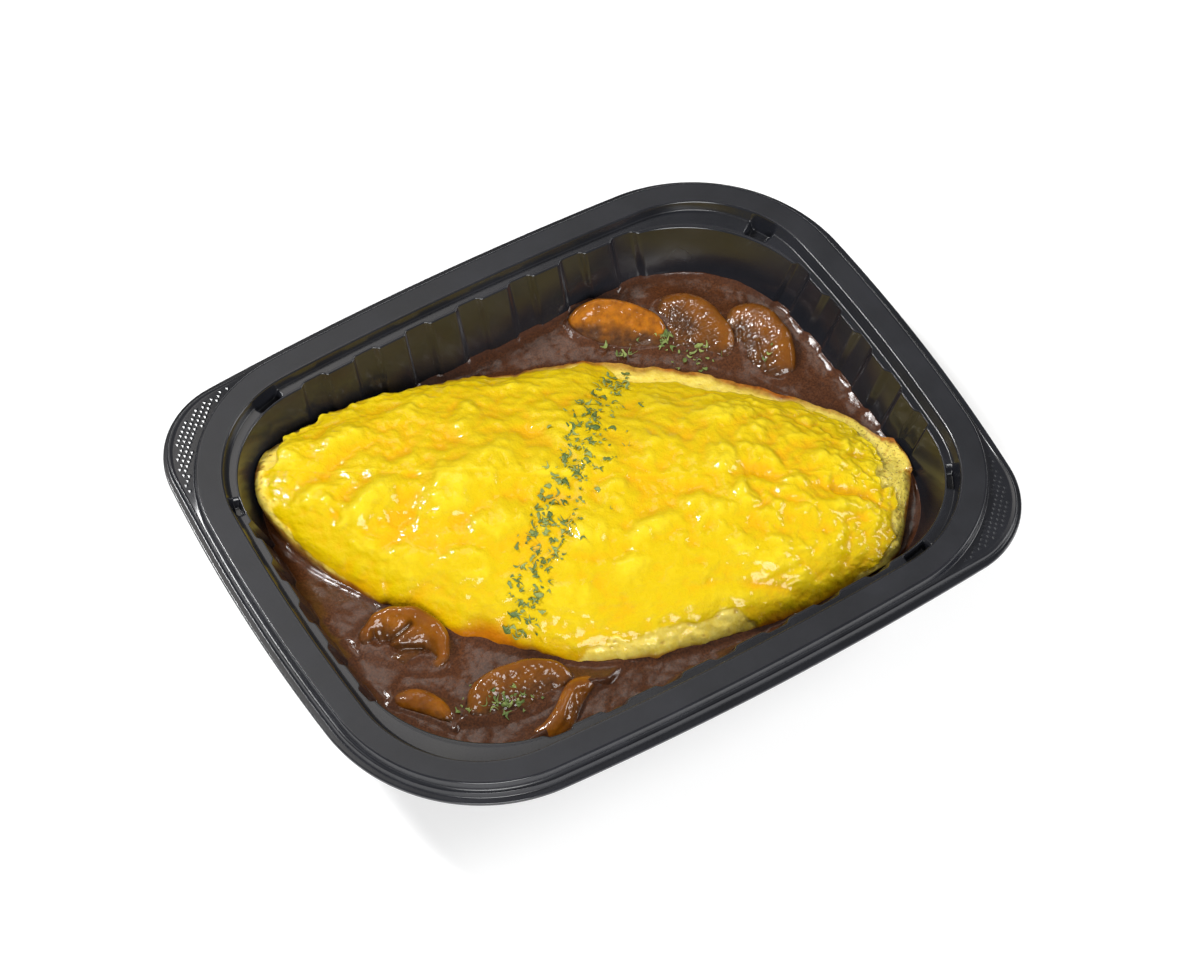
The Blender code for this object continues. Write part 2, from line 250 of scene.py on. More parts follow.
longCentre, longRadius = arcOf(tray["halfLength"], tray["halfWidth"], tray["longBow"])
shortCentre, shortRadius = arcOf(tray["halfWidth"], tray["halfLength"], tray["shortBow"])


def cornerCentre(corner):
    # centre of the corner's arc: where circles that much inside both sides' arcs cross
    distance = math.hypot(shortCentre, longCentre)
    first, second = longRadius - corner, shortRadius - corner
    along = (distance**2 + first**2 - second**2) / (2 * distance)
    across = np.sqrt(first**2 - along**2)
    ux, uy = shortCentre / distance, -longCentre / distance
    return ux * along + uy * across, longCentre + uy * along - ux * across


def rayToCircle(x, y, dx, dy, cx, cy, radius):
    # distance along a ray to the far side of a circle, or none where it misses
    ox, oy = x - cx, y - cy
    along = dx * ox + dy * oy
    inside = along**2 - ox**2 - oy**2 + radius**2
    return np.where(inside >= 0, np.sqrt(np.maximum(inside, 0)) - along, np.nan)


def outlineDistance(x, y, dx, dy, grow, corner):
    # distance from x, y along dx, dy to the outline moved out by grow, in the first quadrant:
    # the corner's arc between its two tangents, and a side's arc outside them
    cx, cy = cornerCentre(corner)
    toCorner = rayToCircle(x, y, dx, dy, cx, cy, corner + grow)
    toLong = rayToCircle(x, y, dx, dy, 0.0, longCentre, longRadius + grow)
    toShort = rayToCircle(x, y, dx, dy, shortCentre, 0.0, shortRadius + grow)
    angle = np.arctan2(y + dy * toCorner - cy, x + dx * toCorner - cx)
    found = np.where(angle > np.arctan2(cy - longCentre, cx), toLong, toCorner)
    found = np.where(angle < np.arctan2(cy, cx - shortCentre), toShort, found)
    return np.where(np.isnan(toCorner), np.where(dy > dx, toLong, toShort), found)


def cornerRadius(grow, tabbed):
    # as the part: wider for the wall at the two plain corners, and eased on the rim there
    plain = np.where(grow < -2.0, tray["wallCorner"], tray["corner"]
                     + tray["cornerEase"] * np.maximum(grow, 0.0))
    return np.where(tabbed, tray["corner"], plain)


def wallAt(height):
    # how far the wall leans out at a height, and how deep its recesses are there
    share = (height - tray["wallFootHeight"]) / (tray["ledgeHeight"] - tray["wallFootHeight"])
    grow = tray["wallFoot"] + (tray["ledgeEdge"] - tray["wallFoot"]) * share
    return grow, tray["recessFoot"] + (tray["recessTop"] - tray["recessFoot"]) * share


def recessShare(place, pitch, recesses):
    # 1 on a recess's flat, 0 past its slanted sides
    nearest = np.minimum(np.round(place / pitch), recesses - 1) * pitch
    slope = tray["recessHalfWidth"] - tray["recessHalfFlat"]
    share = np.clip((tray["recessHalfWidth"] - np.abs(place - nearest)) / slope, 0, 1)
    return 0.5 * share + 0.5 * ramp(0, 1, share)


def trayColumns(step):
    # start, direction, recess share, quadrant signs and tab flag of each column round the tray
    cx, cy = cornerCentre(tray["corner"])
    shortPlaces = (np.arange(round(cy / step)) + 0.5) * cy / round(cy / step)
    longPlaces = ((np.arange(round(cx / step)) + 0.5) * cx / round(cx / step))[::-1]
    turns = round(tray["corner"] * math.pi / 2 / step)
    angles = (np.arange(turns) + 0.5) * math.pi / 2 / turns
    shortShare = recessShare(shortPlaces, tray["shortPitch"], tray["shortRecesses"])
    longShare = recessShare(longPlaces, tray["longPitch"], tray["longRecesses"])
    quadrant = np.concatenate([np.stack(np.broadcast_arrays(*values)) for values in (
        (0.0, shortPlaces, 1.0, 0.0, shortShare),
        (cx, cy, np.cos(angles), np.sin(angles), 0.0),
        (longPlaces, 0.0, 0.0, 1.0, longShare),
    )], axis=1)
    whole, signs = [], []
    for signX, signY in ((1, 1), (-1, 1), (-1, -1), (1, -1)):
        whole.append(quadrant if signX * signY > 0 else quadrant[:, ::-1])
        signs.append(np.full((2, quadrant.shape[1]), [[signX], [signY]]))
    return np.concatenate(whole, axis=1), np.concatenate(signs, axis=1)


def trayRing(columns, signs, grow, height, recess=0.0, tab=0.0):
    # one ring: the outline at that grow, deeper at the recesses, drawn to the tighter corner
    # by the share tab at the two corners with a thumb tab
    x, y, dx, dy, depth = columns
    tabbed = signs[0] * signs[1] < 0
    distance = outlineDistance(x, y, dx, dy, grow, cornerRadius(grow, tabbed)) + recess * depth
    tight = outlineDistance(x, y, dx, dy, grow, tray["tabCorner"])
    distance = np.where(tabbed, distance + tab * (tight - distance), distance)
    return np.stack([(x + dx * distance) * signs[0], (y + dy * distance) * signs[1],
                     np.broadcast_to(height, x.shape)], -1)


def roundedRings(folds, radii, steps):
    # each fold between two flats becomes a quadratic curve that leaves the flats at its radius
    rings = [folds[0]]
    for k in range(1, len(folds) - 1):
        back, ahead = folds[k - 1] - folds[k], folds[k + 1] - folds[k]
        reachBack, reachAhead = (np.linalg.norm(v, axis=-1, keepdims=True) for v in (back, ahead))
        start = folds[k] + back * np.minimum(radii[k] / reachBack, 0.45)
        end = folds[k] + ahead * np.minimum(radii[k] / reachAhead, 0.45)
        for t in np.linspace(0, 1, steps[k]):
            rings.append((1 - t) ** 2 * start + 2 * t * (1 - t) * folds[k] + t**2 * end)
    return np.stack(rings + [folds[-1]])


def buildTray(surface):
    # rings from the middle of the floor up the wall, over the rim and back below, each the
    # outline at its own grow and height, with the folds between them rounded
    columns, signs = trayColumns(tray["columnStep"])
    shell, foot, rim = tray["shell"], tray["floorEdge"], tray["height"]
    ledgeUnder, rimUnder = tray["ledgeHeight"] - shell, rim - shell
    lockFoot = -0.8 - 1.05 * columns[2] ** 2  # the lock wall leans more at the short sides

    def ring(grow, height, recess=0.0, tab=0.0):
        return trayRing(columns, signs, grow, height, recess, tab)

    floorRing, underRing = ring(foot, shell), ring(foot + 0.4, 0.0)
    stepFoot = ring(tray["stepOut"], grip["foot"])
    stepEdge = ring(tray["stepOut"] + 1.0, grip["edge"], 0, 1.15)
    border = stepFoot + (stepEdge - stepFoot) * 0.84
    ledges = [ring(tray["ledgeEdge"], tray["ledgeHeight"], tray["recessTop"]),
              ring(lockFoot, tray["ledgeHeight"])]
    ledgesUnder = [ring(tray["ledgeEdge"] + shell, ledgeUnder, tray["recessTop"]),
                   ring(lockFoot + shell, ledgeUnder)]
    middle = (ledges[0] + ledges[1]) / 2
    pocket = np.zeros(len(middle))
    for x, y, half in notches:
        away = np.hypot(middle[:, 0] - x, middle[:, 1] - y)
        pocket = np.maximum(pocket, np.clip((half - away) / 0.7 + 0.5, 0, 1))
    # a pocket is a cup with a thin lip left standing on the wall's side, and the underside of
    # the ledge sinks with it
    lip = ledges[0] + (ledges[1] - ledges[0]) * 0.16
    cup = ledges[0] + (ledges[1] - ledges[0]) * 0.30
    for sunk in (cup, ledges[1], *ledgesUnder):
        sunk[:, 2] -= tray["notchDepth"] * pocket
    table = [
        # ring, fold radius, rings in the fold, how matt the plastic is there
        (floorRing * (0.5, 0.5, 1), 0, 1, 0.3),
        (floorRing, 2.5, 4, 0.3),
        (ring(tray["wallFoot"], tray["wallFootHeight"], tray["recessFoot"]), 2.5, 4, 0.0),
        (ledges[0], 0.42, 5, 0.0),
        (lip, 0.2, 3, 0.6),
        (cup, 0.25, 3, 0.2),
        (ledges[1], 0.35, 5, 0.3),
        (ring(0.0, rim), 0.55, 6, 0.1),
        (ring(0.8, rim), 0, 1, 1.0),
        (ring(tray["rimWidth"] - 0.8, rim), 0, 1, 1.0),
        (ring(tray["rimWidth"], rim), 0.6, 6, 0.1),
        (stepFoot, 0.35, 4, 0.4),
        (border - (0, 0, 0.25), 0.3, 4, 0.4),
        (stepEdge + (0, 0, 0.1), 0.5, 6, 0.1),
        (ring(9.8, 35.8, 0, 1.1), 0.3, 4, 0.3),
        (ring(11.65, 35.72, 0, 1), 0.45, 6, 0.1),
        (ring(11.65, 34.5, 0, 1), 0.3, 3, 0.3),
        (ring(9.1, 34.9, 0, 1.1), 0.4, 3, 0.4),
        (ring(7.2, 36.4), 0.4, 3, 0.4),
        (ring(6.7, rimUnder), 0.4, 3, 0.4),
        (ring(shell, rimUnder), 0.4, 3, 0.4),
        (ledgesUnder[1], 0.4, 3, 0.4),
        (ledgesUnder[0], 0.4, 3, 0.3),
        (ring(tray["wallFoot"] + shell, 4.1, tray["recessFoot"]), 2.0, 4, 0.3),
        (underRing, 1.6, 5, 0.5),
        (ring(foot - 3.2, 0.0), 0.5, 3, 0.5),
        (ring(foot - 4.2, 0.35), 0.5, 3, 0.5),
        (underRing * (0.45, 0.45, 1) + (0, 0, 0.35), 0, 1, 0.5),
    ]
    folds = [row[0] for row in table]
    rings = roundedRings(folds, [row[1] for row in table], [row[2] for row in table])
    matt = [table[0][3]]
    for row in table[1:-1]:
        matt += [row[3]] * row[2]
    matt = np.repeat(np.array(matt + [table[-1][3]])[:, None], rings.shape[1], axis=1)
    piece = closedSurface("tray_shell", rings, surface, {"matt": matt})
    even = piece.modifiers.new("even_normals", "WEIGHTED_NORMAL")
    even.weight = 80
    return standFor(piece, "tray", "tray")


def outwardOffset(x, y, corner):
    # how far a point of the first quadrant lies outside the opening's outline
    cx, cy = cornerCentre(corner)
    onLong = np.hypot(x, y - longCentre) - longRadius
    onShort = np.hypot(x - shortCentre, y) - shortRadius
    onCorner = np.hypot(x - cx, y - cy) - corner
    angle = np.arctan2(y - cy, x - cx)
    found = np.where(angle > math.atan2(cy - longCentre, cx), onLong, onCorner)
    return np.where(angle < math.atan2(cy, cx - shortCentre), onShort, found)


def buildGrip(surface):
    # rows of low four-sided studs on the two tabs, on a square grid turned by 45 degrees, each
    # set on the tab's slope between the foot of the rim's step and the tab's edge
    count = np.arange(-grip["gridHalf"], grip["gridHalf"] + 1) * grip["pitch"]
    u, v = (g.ravel() for g in np.meshgrid(count, count))
    midX, midY = grip["gridCentre"]
    x, y = midX + (u - v) / math.sqrt(2), midY + (u + v) / math.sqrt(2)
    fromStep = outwardOffset(x, y, tray["corner"]) - tray["stepOut"]
    toEdge = grip["to"] - outwardOffset(x, y, tray["tabCorner"])
    keep = (x > 20) & (y > 20) & (fromStep > grip["margin"]) & (toEdge > 0)
    x, y, fromStep, toEdge = (v[keep] for v in (x, y, fromStep, toEdge))
    share = fromStep / (fromStep + toEdge + 1.2)
    base = grip["foot"] + (grip["edge"] - 0.25 - grip["foot"]) * share
    centres = np.concatenate([np.stack([-x, y, base], -1), np.stack([x, -y, base], -1)])
    angles = (np.arange(4) + 0.5) * math.pi / 2
    circle = np.stack([np.cos(angles), np.sin(angles), 0 * angles], -1)
    rings = [centres[:, None] + circle * radius + (0, 0, height)
             for radius, height in grip["profile"]]
    points = np.concatenate(rings, axis=1).reshape(-1, 3)
    around = np.arange(4)
    after = (around + 1) % 4
    sides = [np.stack([around, after, after + 4, around + 4], -1) + 4 * k
             for k in range(len(rings) - 1)]
    size = 4 * len(rings)
    faces = np.concatenate(sides + [[[3, 2, 1, 0]], [[size - 4, size - 3, size - 2, size - 1]]])
    faces = (faces[None] + size * np.arange(len(centres))[:, None, None]).reshape(-1, 4)
    piece = pieceFromFaces("tray_grip_studs", points, faces, surface,
                           {"matt": np.full(len(points), grip["matt"])})
    piece.data.shade_flat()
    return standFor(piece, "tray")


def plasticSurface():
    # black with a little cloud in it, and glossier where the sheet was drawn over a fold
    made = Surface("blackPlastic", Metallic=0.0, IOR=1.5)
    matt = made.mark("matt")
    grain, cloud = made.noise(9000, 2), made.noise(60, 3)
    tone = made.over(linear(23, 24, 28), (30, 31, 36), cloud, 0.3, 0.7)
    made.set("Base Color", tone)
    rough = made.sum(made.remap(matt, 0, 1, 0.15, 0.36), made.remap(cloud, 0.3, 0.7, 0.0, 0.05))
    made.set("Roughness", rough)
    fine = made.sum(grain, matt, "MULTIPLY")
    made.set("Normal", made.bump(fine, 0.00003, 0.35))
    return made.material


plastic = plasticSurface()
buildTray(plastic)
buildGrip(plastic)
print("tray and its grips made")


# omelette: a spindle on the diagonal between the tabs, s along it and n across it
egg = {
    "turn": -26.3, "halfWidth": 53.0, "leftLength": 98.0, "rightLength": 94.6,
    "planPower": 1.5, "leftTaper": 0.57, "rightTaper": 0.49, "middle": -1.8,
    "leftDrift": 12.9, "rightDrift": -1.5, "edge": 20.4, "leftRise": 6.5, "rightRise": 4.5,
    "crest": 18.0, "nearPower": 0.95, "farPower": 1.7, "bottom": 3.2, "bottomShare": 0.86,
    "highest": 39.7, "soakedFrom": 21.0, "stations": 430, "across": 200, "under": 14,
    "sheetStep": 1.2,
}
# mounds and folds: s, n, half length, half width, turn in degrees, height; the first kind has a
# firm edge that creases where it meets the rest, the second melts into it
firmLobes = (
    (-64, -5, 15, 7.5, 36, 2.3), (-80, -2, 10, 7, 20, 1.4), (-72, 19, 9, 6, 35, 1.2),
    (-84, 15, 8, 6, 50, 1.1), (-42, -3, 15, 10, 15, 1.4), (-28, -14, 10, 9, -60, 1.2),
    (-55, -24, 13, 5.5, -22, 1.5), (-38, -27, 11, 6, -15, 1.3), (-66, -17, 8, 4, -30, 1.0),
    (-58, 26, 12, 7, 20, 1.0), (-33, 22, 12, 8, 70, 1.1), (-10, 20, 9, 12, 10, 0.9),
    (-2, -20, 10, 8, 40, 1.1), (-8, -40, 12, 6, -10, 1.0), (8, -32, 8, 5, 20, 1.2),
    (17, -19, 9, 4.5, 25, 1.3), (31, -14, 10, 6, -25, 1.5), (20, 8, 10, 9, 0, 0.9),
    (24, 27, 11, 7, 10, 1.0), (40, 20, 8, 7, 30, 1.3), (38, 4, 7, 6, 60, 1.1),
    (43, -7, 6.5, 3.0, 85, 1.9), (52, 4, 6, 4, -70, 1.2), (47, -29, 15.5, 7.5, -4, 2.7),
    (57, -35, 4.5, 3.6, 10, 1.2), (62, 14, 9, 6, -20, 1.1), (58, -6, 6, 4, 30, 1.0),
    (66, -15, 8, 4.5, 5, 1.5), (75, -13, 9, 4.5, -10, 1.7), (82, -17, 6, 4, 40, 1.2),
    (70, 3, 7, 5, 10, 1.1), (67, -27, 5, 9, -20, 1.4), (78, 12, 7, 5, 60, 1.0),
    (22, -42, 12, 5, 5, 1.1), (40, -42, 8, 4, 10, 0.9),
)
softMounds = (
    (-15, 15, 5, 9, -10, -1.6), (-71, 12, 8, 2.5, 38, -1.5), (-40, -13, 14, 3, 12, -1.2),
    (-55, -11, 10, 2, 55, -1.2), (48, -1.5, 4.5, 2.4, -5, -2.6), (72, -7.5, 5.5, 1.8, -8, -2.2),
    (46, -37.5, 11, 1.5, -3, -1.8), (-25, -27, 9, 5, 0, -1.2), (-78, 6, 9, 3, 20, -0.9),
    (10, -12, 10, 5, 30, -0.8), (-50, 14, 16, 4, 12, -0.8), (28, -8, 12, 4, -30, -0.8),
    (60, -22, 6, 5, 0, -1.0), (-14, -34, 4, 3, 0, -1.1), (4, 34, 14, 5, -10, -0.6),
    (-30, 5, 12, 8, 10, 0.9), (-90, 20, 8, 7, 45, 0.9), (33, 33, 12, 5, -12, 0.9),
)
print("shaping the omelette")


def eggPlan(s):
    # half width, middle line, edge height and crest of the spindle at s
    left = s < 0
    share = np.minimum(np.abs(s) / np.where(left, egg["leftLength"], egg["rightLength"]), 0.9995)
    width = egg["halfWidth"] * (1 - share ** egg["planPower"]) ** np.where(
        left, egg["leftTaper"], egg["rightTaper"])
    middle = egg["middle"] + np.where(left, egg["leftDrift"], egg["rightDrift"]) * share**1.3
    # the right end is blunt and slants back to the near side, the left one has a far corner
    near = 4.0 * np.exp(-(((s - 82) / 7) ** 2)) - 9.0 * ramp(87, 94, s)
    far = 4.5 * ramp(86, 93, s) + 3.2 * ramp(-88, -97, s)
    width, middle = width + (near + far) / 2, middle + (far - near) / 2
    edge = egg["edge"] + np.where(left, egg["leftRise"], egg["rightRise"]) * share**4
    fall = np.where(left, 0.5, 0.5 + 0.4 * ramp(60, 90, s))
    return width, middle, edge, egg["crest"] * (1 - share**2.6) ** fall


def turnedPlace(s, n, row):
    # a place seen from a lobe: along and across its turned axes, in its half lengths
    angle = math.radians(row[4])
    ds, dn = s - row[0], n - row[1]
    return ((ds * math.cos(angle) + dn * math.sin(angle)) / row[2],
            (dn * math.cos(angle) - ds * math.sin(angle)) / row[3])


def eggRelief(s, n, t):
    # height of folds, curds and fine grain: s and n in plan, t the same as n on the flat top and
    # growing faster down the sides
    bend = layeredNoise(s, t, 16, 2, 5)
    shiftS = s + 2.0 * bend + 0.9 * softNoise(s, t, 4.1, 7)
    shiftT = t + 2.0 * layeredNoise(s, t, 14, 2, 9) + 0.9 * softNoise(s, t, 3.7, 8)
    chunky = (0.42 + 0.58 * ramp(8, 55, s)) * (0.8 + 0.35 * layeredNoise(s, t, 15, 2, 6))
    relief = 1.1 * layeredNoise(s, t, 26, 2, 1) + 0.5 * (1.2 - chunky) * softNoise(s, t, 7, 3)
    for row in softMounds:
        u, v = turnedPlace(s, n, row)
        relief = relief + row[5] * np.exp(-u * u - v * v)
    for k, row in enumerate(firmLobes):
        u, v = turnedPlace(s + 1.2 * bend, n, row)
        away = np.sqrt(u * u + v * v) + 0.14 * softNoise(s, t, 5, 60 + k)
        puff = (1 - ramp(0.25, 1.05, away)) * (1 + 0.25 * v)
        relief = relief + (1.3 - 0.5 * ramp(-10, 50, s)) * row[5] * puff
    grainy = ramp(64, 80, s)
    for size, height, late, seed in ((8.6, 1.0, -0.55, 11), (4.7, 1.05, -0.3, 12),
                                     (2.5, 0.70, 0.25, 13)):
        near, second, number = cellNoise(shiftS, shiftT, size, seed)
        curd = 0.95 * np.maximum(1 - near**2, 0) ** 1.6 + 0.4 * number * ramp(
            0, 0.45, second - near)
        relief = relief + (height + late * grainy) * chunky * curd
    wet = layeredNoise(s + 0.4 * t, t - 0.4 * s, 3.4, 3, 35)
    return relief + 0.38 * (1.4 - chunky) * wet + 0.18 * layeredNoise(s, t, 1.7, 2, 31)


def sheetWidths(s):
    # how far the pale egg sheet shows outside the scrambled layer, at the near and far edge
    near = 9.5 * ramp(-12, 2, s) * ramp(50, 36, s) + 6.0 * ramp(68, 84, s)
    near = near + 4.5 * ramp(-80, -92, s)
    far = 6.4 * ramp(6, 14, s) * ramp(66, 52, s) + 2.0 * ramp(55, 66, s)
    far = far + 3.0 * ramp(-28, -20, s) * ramp(2, -4, s) + 5.0 * ramp(-70, -84, s)
    tip = 6.0 * ramp(74, 86, s)
    return near + 0.5, far + 0.9 + tip


def eggShape():
    # rows of sections from tip to tip; in each the points go over the top and back below
    k = np.linspace(-1, 1, egg["stations"])
    share = 0.6 * k + 0.4 * np.sin(k * math.pi / 2)
    s = (share * np.where(share < 0, egg["leftLength"], egg["rightLength"]) * 0.9995)[:, None]
    q = np.linspace(-1, 1, egg["across"])[None]
    q = 0.35 * q + 0.65 * np.sin(q * math.pi / 2)
    width, middle, edge, crest = eggPlan(s)
    angle = np.arcsin(q)
    dome = np.maximum(np.cos(angle), 0) ** np.where(
        q < 0, egg["nearPower"], egg["farPower"] + 0.9 * ramp(-5, 12, s) - 0.6 * ramp(-20, -60, s))
    t = middle + width * q + np.sign(q) * 0.8 * crest * (1 - dome)
    ragged = layeredNoise(s, q * 0 + 3.0, 7, 3, 41), layeredNoise(s, q * 0 + 9.0, 6, 3, 43)
    wave = np.where(q < 0, 0.8 * ragged[0], 1.0 * ragged[1]) * np.abs(q) ** 3
    n = middle + (width + wave) * q
    # distance to the edge: in plan at the far side, over the steep surface at the near one
    inset = np.where(q < 0, width + 0.8 * crest - np.abs(t - middle), (1 - np.abs(q)) * width)
    inward = inset + 2.0 * layeredNoise(s, t, 7, 4, 45)
    nearSheet, farSheet = sheetWidths(s)
    sheetWidth = np.where(q < 0, nearSheet, farSheet)
    tipAway = np.minimum(s + egg["leftLength"], egg["rightLength"] - s)
    inward = np.minimum(inward, tipAway * 0.9 + 1.8 * layeredNoise(s, t, 8, 3, 46))
    scrambled = ramp(-0.5, 0.6, inward - sheetWidth)
    relief = blurred(eggRelief(s, n, t) - 1.2, 0.9) * (1 - 0.5 * ramp(0.3, 0.85, -q))
    pores = cellNoise(s + 0.8 * ragged[0], t + 0.8 * softNoise(s, t, 3, 49), 3.1, 51)
    pits = ramp(0.24, 0.06, pores[0]) * ramp(0.62, 0.72, pores[2] + 0.5 * ramp(70, 86, np.abs(s)))
    sheetRelief = 0.7 * layeredNoise(s, t, 9, 3, 52) - 0.3 * pits
    fade = np.minimum(1, dome * 2.2) * ramp(-0.5, 3.5, tipAway)
    sheetRelief = sheetRelief + np.where(q < 0, 0.25, 0.1) * layeredNoise(s, t, 3.1, 3, 54)
    drop = egg["sheetStep"] * np.where(q < 0, 0.35, 1.0)
    raised = fade * (scrambled * (relief + 0.5 * drop) + (1 - scrambled) * (sheetRelief - drop))
    # raised along the normal of the smooth spindle, so that the sides puff outwards
    smooth = np.stack([np.broadcast_to(s, n.shape), n, edge + crest * dome], -1)
    normal = np.cross(np.gradient(smooth, axis=0), np.gradient(smooth, axis=1))
    normal = normal / np.maximum(np.linalg.norm(normal, axis=-1, keepdims=True), 1e-6)
    top = smooth + normal * raised[..., None]
    # what stands higher than the rim is held down softly
    over = np.maximum(top[..., 2] - egg["highest"], 0)
    top[..., 2] = top[..., 2] - over + 1.1 * np.tanh(over / 1.1)
    # the near edge sinks into the sauce and the far one lies on it
    z = top[..., 2] - (1 - fade) * np.where(q < 0, 1.0, 1.0 - 2.4 * ramp(-20, 8, s))
    wander = np.where(q < 0, 0.5, 1.4) * softNoise(s, 0 * t, 17, 50)
    fringe = np.where(q < 0, 1.6 + 0.9 * ramp(80, 92, s), 4.3 - 2.3 * ramp(66, 82, s)) + wander
    brown = ramp(np.maximum(fringe, 0.6), 0.2, np.minimum(inset, tipAway * 0.9)
                 + 0.9 * layeredNoise(s, t, 6, 4, 47))
    # egg soaked with sauce just above the pool, most of all below the parsley
    soak = 2.4 + 1.5 * layeredNoise(s, t, 8, 3, 56) + 8.0 * np.exp(-(((s + 32) / 8) ** 2))
    soak = soak + 2.5 * np.exp(-(((s - 55) / 9) ** 2))
    abovePool = z - egg["soakedFrom"]
    soak = ramp(soak, 0.2 * soak - 0.3, abovePool) * (q < 0)
    # painted shade: hollows of three sizes, below the blurred surface, later deepen the yellow in
    # the hollows and make it paler on the ridges
    hollow = 0.0
    for radius, strength, deepest in ((16, 0.7, 1.7), (5, 0.6, 0.8), (2, 0.2, 0.25)):
        hollow = hollow + strength * np.clip((blurred(raised, radius) - raised) / deepest, -1, 1)
    # the hollow mark is also raised low on the near side, just above the pool
    hollow = hollow + 0.9 * ramp(10, 0, abovePool) * (q < 0)
    olive = ramp(72, 86, s + 0.2 * n) * np.ones(z.shape)
    # hollow carries the painted shade of the hollows and ridges
    marks = {"hollow": hollow, "sheet": 1 - scrambled, "brown": brown, "pit": pits,
             "olive": olive, "soak": soak}
    # the underside: down from the far edge, under, and up to the near edge
    side = np.linspace(1, -1, egg["under"])[None]
    bottomN = middle + side * width * egg["bottomShare"]
    floor = egg["bottom"] + (edge - 1.5 - egg["bottom"]) * np.abs(
        s / egg["leftLength"]) ** 5
    n = np.concatenate([top[..., 1], bottomN], 1)
    z = np.concatenate([z, np.broadcast_to(floor, bottomN.shape)], 1)
    for key, value in marks.items():
        below = np.full(bottomN.shape, float(key in ("sheet", "brown")))
        marks[key] = np.concatenate([value, below], 1)
    s = np.concatenate([top[..., 0], np.broadcast_to(s, bottomN.shape)], 1)
    turn = math.radians(egg["turn"])
    x, y = s * math.cos(turn) - n * math.sin(turn), s * math.sin(turn) + n * math.cos(turn)
    # drawn in where it would come too near the wall
    low = ramp(tray["wallFootHeight"], 0.9, z)
    grow = wallAt(np.maximum(z, tray["wallFootHeight"]))[0] - 4.0 * low
    away = np.hypot(x, y)
    reach = outlineDistance(0.0, 0.0, np.abs(x) / away, np.abs(y) / away, grow - 0.9,
                            cornerRadius(grow, x * y < 0))
    inside = np.where(away > 37, np.minimum(1, reach / away), 1.0)
    points = np.stack([x * inside, y * inside, z], -1)
    return points, marks


def eggSurface():
    # yellow with painted shade, deeper in hollows and paler on ridges, pale where the sheet shows,
    # stained by sauce and toasted
    made = Surface("softEgg", Specular_IOR_Level=0.1, Coat_Weight=0.7, Coat_Roughness=0.06,
                   Coat_IOR=1.38, Subsurface_Weight=0.12, Subsurface_Scale=0.0008,
                   Subsurface_Radius=(1.0, 0.75, 0.05), Roughness=0.5)
    hollow, sheet, brown, pit, olive = (
        made.mark(k) for k in ("hollow", "sheet", "brown", "pit", "olive"))
    broad, fine = made.noise(70, 4), made.noise(420, 4, 0.65)
    speck = made.remap(made.noise(1300, 3, 0.6), 0.56, 0.66)
    tone = made.sum(made.remap(broad, 0.3, 0.7, -0.45, 0.45),
                    made.remap(fine, 0.3, 0.7, -0.25, 0.25))
    # painted shade: the hollow mark, with random tone added, makes the yellow paler on ridges and
    # deeper orange in hollows
    hollowShadeAndTone = made.sum(hollow, tone)
    yellow = made.over(linear(212, 188, 24), (201, 172, 0), hollowShadeAndTone, -1.2, -0.2)
    yellow = made.over(yellow, (208, 158, 0), hollowShadeAndTone, 0.0, 1.2)
    pale = made.over(linear(236, 214, 104), (226, 196, 70), fine, 0.35, 0.65)
    pale = made.over(pale, (206, 188, 84), olive, 0, 1, 0.8)
    pale = made.over(pale, (170, 120, 40), pit, 0, 1, 0.6)
    specks = made.sum(speck, made.remap(olive, 0.3, 1.0, 0.0, 0.75), "MULTIPLY")
    pale = made.mix(specks, pale, linear(112, 84, 30))
    colour = made.mix(sheet, yellow, pale)
    colour = made.over(colour, (176, 92, 8), made.mark("soak"), 0, 1, 0.85)
    toast = made.over(linear(158, 88, 16), (96, 48, 12), fine, 0.35, 0.7)
    colour = made.mix(made.sum(brown, made.remap(broad, 0.35, 0.6, 0.6, 1.0), "MULTIPLY"),
                      colour, toast)
    made.set("Base Color", colour)
    wet = made.noise(330, 4, 0.6)
    made.set("Normal", made.bump(wet, 0.0009, 0.75))
    beads = made.noise(620, 3, 0.5)
    made.set("Coat Normal", made.bump(beads, 0.00022, 0.6))
    return made.material


eggPoints, eggMarks = eggShape()
omelette = closedSurface("omelette_egg", eggPoints, eggSurface(), eggMarks)
standFor(omelette, "egg", "omelette")
print("omelette made")


